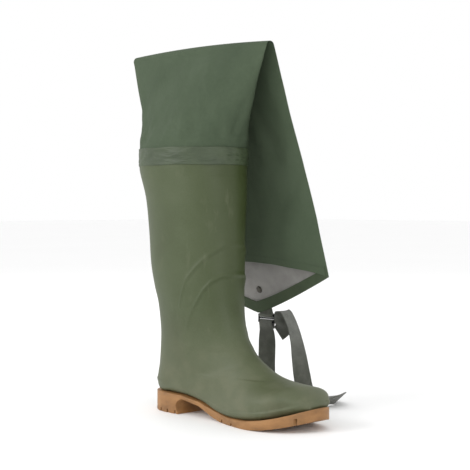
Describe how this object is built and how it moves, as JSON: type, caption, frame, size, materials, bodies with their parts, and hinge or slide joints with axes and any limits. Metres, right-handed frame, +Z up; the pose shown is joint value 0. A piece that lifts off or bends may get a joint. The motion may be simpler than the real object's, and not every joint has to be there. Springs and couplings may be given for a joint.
{
  "type": "thigh wader",
  "caption": "Moulded right-foot wading boot with a cleated sole and a coated-cloth thigh leg, its top folded down as a hinged cuff that carries a hanging belt strap.",
  "frame": {"origin": "on the ground at the flat heel tread, under the middle of the leg", "axes": "+X towards the toe, +Y towards the inner side of the leg, +Z up the leg"},
  "size_m": [0.388, 0.2756, 0.5139],
  "materials": {
    "boot_pvc": "olive green moulded PVC, satin",
    "sole_pvc": "tan moulded PVC, satin",
    "coated_cloth": "green PVC-coated nylon cloth, dull sheen, grey knit back",
    "welded_tape": "green coated tape, welded",
    "seam_tape": "thin sealing tape",
    "knit_lining": "grey knitted polyester",
    "foam_footbed": "dark grey foam with a fabric face",
    "webbing": "dark olive woven webbing",
    "black_plastic": "black moulded plastic",
    "dark_metal": "blackened steel"
  },
  "bodies": {
    "boot": {"outsole": "sole_pvc", "boot_shell": "boot_pvc", "boot_lining": "knit_lining", "footbed": "foam_footbed", "joint_band": "welded_tape", "leg_cloth": "coated_cloth", "fold_cloth": "coated_cloth", "leg_seam_tape": "seam_tape"},
    "cuff": {"cuff_cloth": "coated_cloth", "hem_band": "coated_cloth", "cuff_seam_tape": "seam_tape", "strap_tab": "webbing", "tab_rivet": "dark_metal"},
    "strap": {"loop_ring": "black_plastic", "belt_strap": "webbing"}
  },
  "joints": [
    {"name": "cuff_fold", "type": "hinge", "parent": "boot", "child": "cuff", "pos_m": [0.004, 0.01, 0.5025], "axis": [1, 0, 0], "range_deg": [0, 160], "deforming": ["fold_cloth"]},
    {"name": "strap_swing", "type": "hinge", "parent": "cuff", "child": "strap", "pos_m": [0.01, 0.13976, 0.12691], "axis": [1, 0, 0], "range_deg": [-100, 0]}
  ],
  "couplings": [
    {"joint": "strap_swing", "follows": "cuff_fold", "ratio": -0.625}
  ]
}
